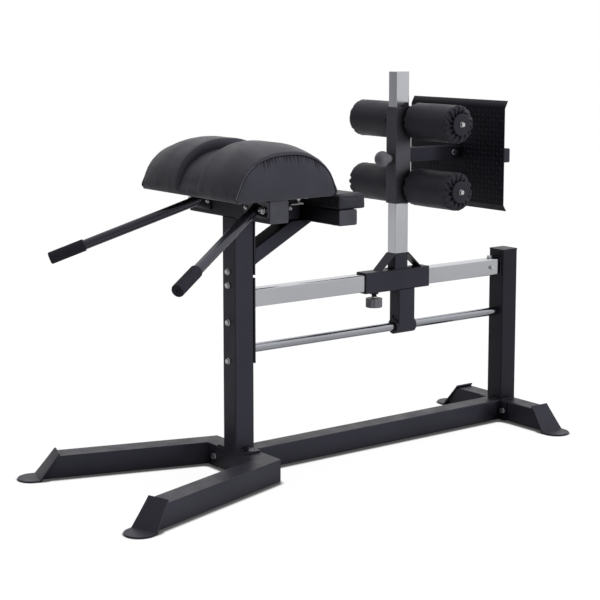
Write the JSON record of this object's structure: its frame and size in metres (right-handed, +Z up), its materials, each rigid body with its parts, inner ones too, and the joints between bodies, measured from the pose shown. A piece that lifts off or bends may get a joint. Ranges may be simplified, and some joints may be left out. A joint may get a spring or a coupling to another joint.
{
  "type": "glute ham developer",
  "caption": "Steel exercise machine for hip and hamstring work: an arched hip pad with handles faces padded ankle rollers and a foot plate that slide on a rail.",
  "frame": {"origin": "on the floor, at the middle of the machine's bounding box", "axes": "+X along the rail, from the hip pad to the foot plate; +Y to the left of a user who lies on the pad with the head towards -X; +Z up"},
  "size_m": [1.9108, 0.8298, 1.3385],
  "materials": {
    "frame_paint": "black powder coat, semi-gloss",
    "chrome": "polished chrome plate",
    "zinc": "bright zinc plate",
    "vinyl": "black vinyl over foam, fine grain",
    "plywood": "bare plywood",
    "grip_rubber": "matte rubber",
    "plastic": "satin black plastic",
    "liner": "matte nylon"
  },
  "bodies": {
    "frame": {"base_tube": "frame_paint", "front_centre_block": "frame_paint", "front_leg_left": "frame_paint", "front_leg_left_bolt": "zinc", "front_leg_right": "frame_paint", "front_leg_right_bolt": "zinc", "front_post": "frame_paint", "grip_left": "grip_rubber", "grip_right": "grip_rubber", "guide_bar": "chrome", "handle_left": "frame_paint", "handle_right": "frame_paint", "hip_pad": "vinyl", "hip_pad_board": "plywood", "knee_pad": "vinyl", "knee_pad_board": "plywood", "pad_bar_left": "frame_paint", "pad_bar_right": "frame_paint", "post_flange_bolt_left": "zinc", "post_flange_bolt_right": "zinc", "rail": "chrome", "rail_end_bracket": "frame_paint", "rail_mount_plate": "frame_paint", "rail_side_bolt": "zinc", "rail_top_bolt": "zinc", "rear_beam": "frame_paint", "rear_crossmember": "frame_paint", "rear_flange_bolt_left": "zinc", "rear_flange_bolt_right": "zinc", "rear_post": "frame_paint", "rear_post_cap": "plastic", "seat_beam": "frame_paint", "seat_mount_plate": "frame_paint", "seat_strut": "frame_paint", "seat_tube": "frame_paint"},
    "carriage": {"carriage_sleeve": "frame_paint", "carriage_liner_front": "liner", "carriage_liner_rear": "liner", "upright_socket": "frame_paint", "upright": "chrome", "drop_arm": "frame_paint", "bar_bushing": "liner"},
    "ankle_holder": {"ankle_liner_lower": "liner", "ankle_liner_upper": "liner", "ankle_sleeve": "frame_paint", "arm_bolt": "zinc", "foot_plate": "frame_paint", "foot_plate_arm": "frame_paint", "foot_plate_bar": "frame_paint", "roller_cap_lower_left": "plastic", "roller_cap_lower_right": "plastic", "roller_cap_upper_left": "plastic", "roller_cap_upper_right": "plastic"},
    "clamp_knob": {"clamp_knob": "plastic"},
    "ball_knob": {"ball_knob": "plastic"},
    "roller_lower_left": {"roller_lower_left": "vinyl"},
    "roller_lower_right": {"roller_lower_right": "vinyl"},
    "roller_upper_left": {"roller_upper_left": "vinyl"},
    "roller_upper_right": {"roller_upper_right": "vinyl"}
  },
  "joints": [
    {"name": "carriage_slide", "type": "slide", "parent": "frame", "child": "carriage", "axis": [1, 0, 0], "range_m": [-0.24, 0.3]},
    {"name": "ankle_slide", "type": "slide", "parent": "carriage", "child": "ankle_holder", "axis": [0, 0, 1], "range_m": [-0.17, 0.12]},
    {"name": "clamp_knob_turn", "type": "hinge", "parent": "carriage", "child": "clamp_knob", "pos_m": [0.27934, 0, 0.5025], "axis": [0, 0, 1], "range_deg": [-360, 0]},
    {"name": "ball_knob_turn", "type": "hinge", "parent": "ankle_holder", "child": "ball_knob", "pos_m": [0.28534, 0, 1.031], "axis": [1, 0, 0], "range_deg": [-360, 0]},
    {"name": "roller_lower_left_spin", "type": "hinge", "parent": "ankle_holder", "child": "roller_lower_left", "pos_m": [0.43734, 0, 0.928], "axis": [0, 1, 0], "continuous": true},
    {"name": "roller_lower_right_spin", "type": "hinge", "parent": "ankle_holder", "child": "roller_lower_right", "pos_m": [0.43734, 0, 0.928], "axis": [0, 1, 0], "continuous": true},
    {"name": "roller_upper_left_spin", "type": "hinge", "parent": "ankle_holder", "child": "roller_upper_left", "pos_m": [0.43734, 0, 1.162], "axis": [0, 1, 0], "continuous": true},
    {"name": "roller_upper_right_spin", "type": "hinge", "parent": "ankle_holder", "child": "roller_upper_right", "pos_m": [0.43734, 0, 1.162], "axis": [0, 1, 0], "continuous": true}
  ]
}
